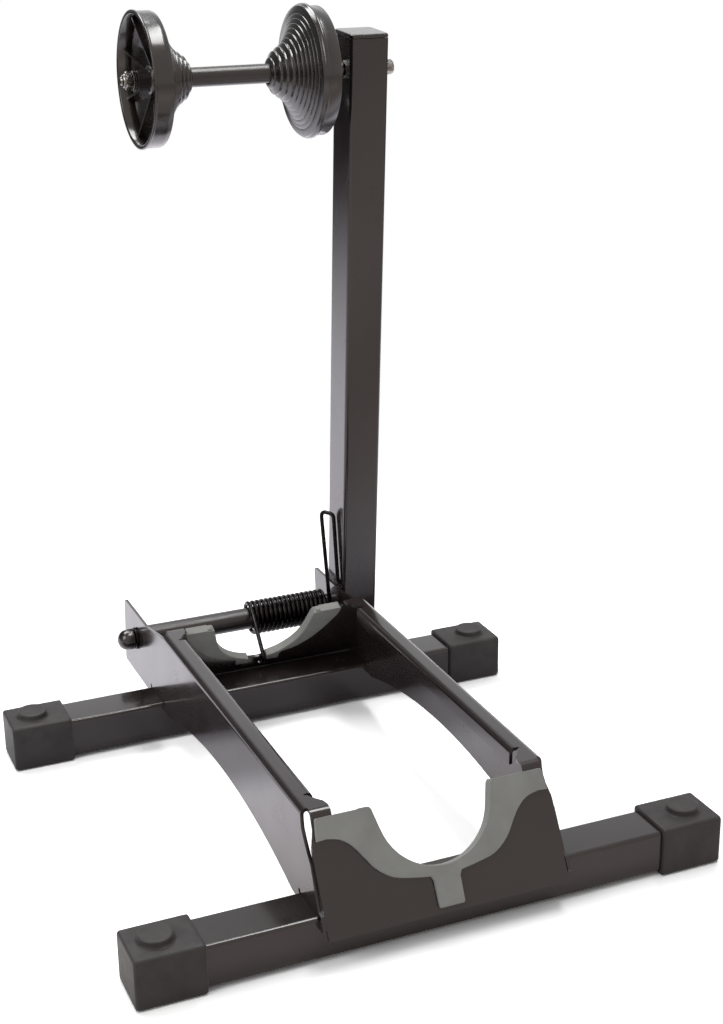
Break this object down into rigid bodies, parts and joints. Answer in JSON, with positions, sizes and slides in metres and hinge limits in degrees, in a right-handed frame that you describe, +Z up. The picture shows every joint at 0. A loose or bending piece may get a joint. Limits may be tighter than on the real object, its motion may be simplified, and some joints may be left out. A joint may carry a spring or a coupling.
{
  "type": "bike parking stand",
  "caption": "Floor stand that parks a bicycle by its wheel: notched steel cradle on two capped crossbars and a sprung arm with a double-cone spool.",
  "frame": {"origin": "floor level, midway across the stand's width and midway between its front and rear ends", "axes": "+X to the stand's right along the crossbars (the arm's side), +Y from the front crossbar to the arm, +Z up"},
  "size_m": [0.3682, 0.3954, 0.4919],
  "materials": {
    "black_paint": "gloss",
    "black_rubber": "matt",
    "grey_rubber": "matt",
    "black_plastic": "satin",
    "black_steel": "oiled black",
    "zinc_steel": "zinc plated",
    "bronze": "sintered"
  },
  "bodies": {
    "base": {"front_crossbar": "black_paint", "rear_crossbar": "black_paint", "end_cap_front_left": "black_rubber", "end_cap_front_right": "black_rubber", "end_cap_rear_left": "black_rubber", "end_cap_rear_right": "black_rubber", "cradle_tray": "black_paint", "front_liner": "grey_rubber", "rear_liner_left": "grey_rubber", "rear_liner_right": "grey_rubber", "pivot_bolt": "black_steel", "pivot_spacer_tube": "black_paint", "pivot_washer_left": "black_steel", "pivot_washer_inner": "zinc_steel", "pivot_washer_outer": "black_steel", "pivot_cap_nut": "black_plastic", "arm_stop_pin": "black_steel", "torsion_spring": "black_steel"},
    "arm": {"arm_tube": "black_paint", "arm_top_plug": "black_plastic", "arm_foot_plug": "black_plastic", "arm_pivot_bush": "bronze", "spool_bolt": "zinc_steel", "spool_bolt_washer": "zinc_steel", "spool_jam_nut": "zinc_steel", "spool_lock_nut": "zinc_steel", "spool_washer_left": "zinc_steel"},
    "spool": {"spool_cone_left": "black_plastic", "spool_cone_right": "black_plastic", "spool_core_tube": "black_paint", "spool_bush_left": "black_plastic", "spool_bush_right": "black_plastic"}
  },
  "joints": [
    {"name": "arm_pivot", "type": "hinge", "parent": "base", "child": "arm", "pos_m": [0, 0.16783, 0.0516], "axis": [-1, 0, 0], "range_deg": [0, 28], "stiffness_Nm_per_rad": 0.724, "springref_deg": -89.95, "deforming": ["torsion_spring"]},
    {"name": "spool_spin", "type": "hinge", "parent": "arm", "child": "spool", "pos_m": [0, 0.13868, 0.44853], "axis": [1, 0, 0], "continuous": true}
  ]
}
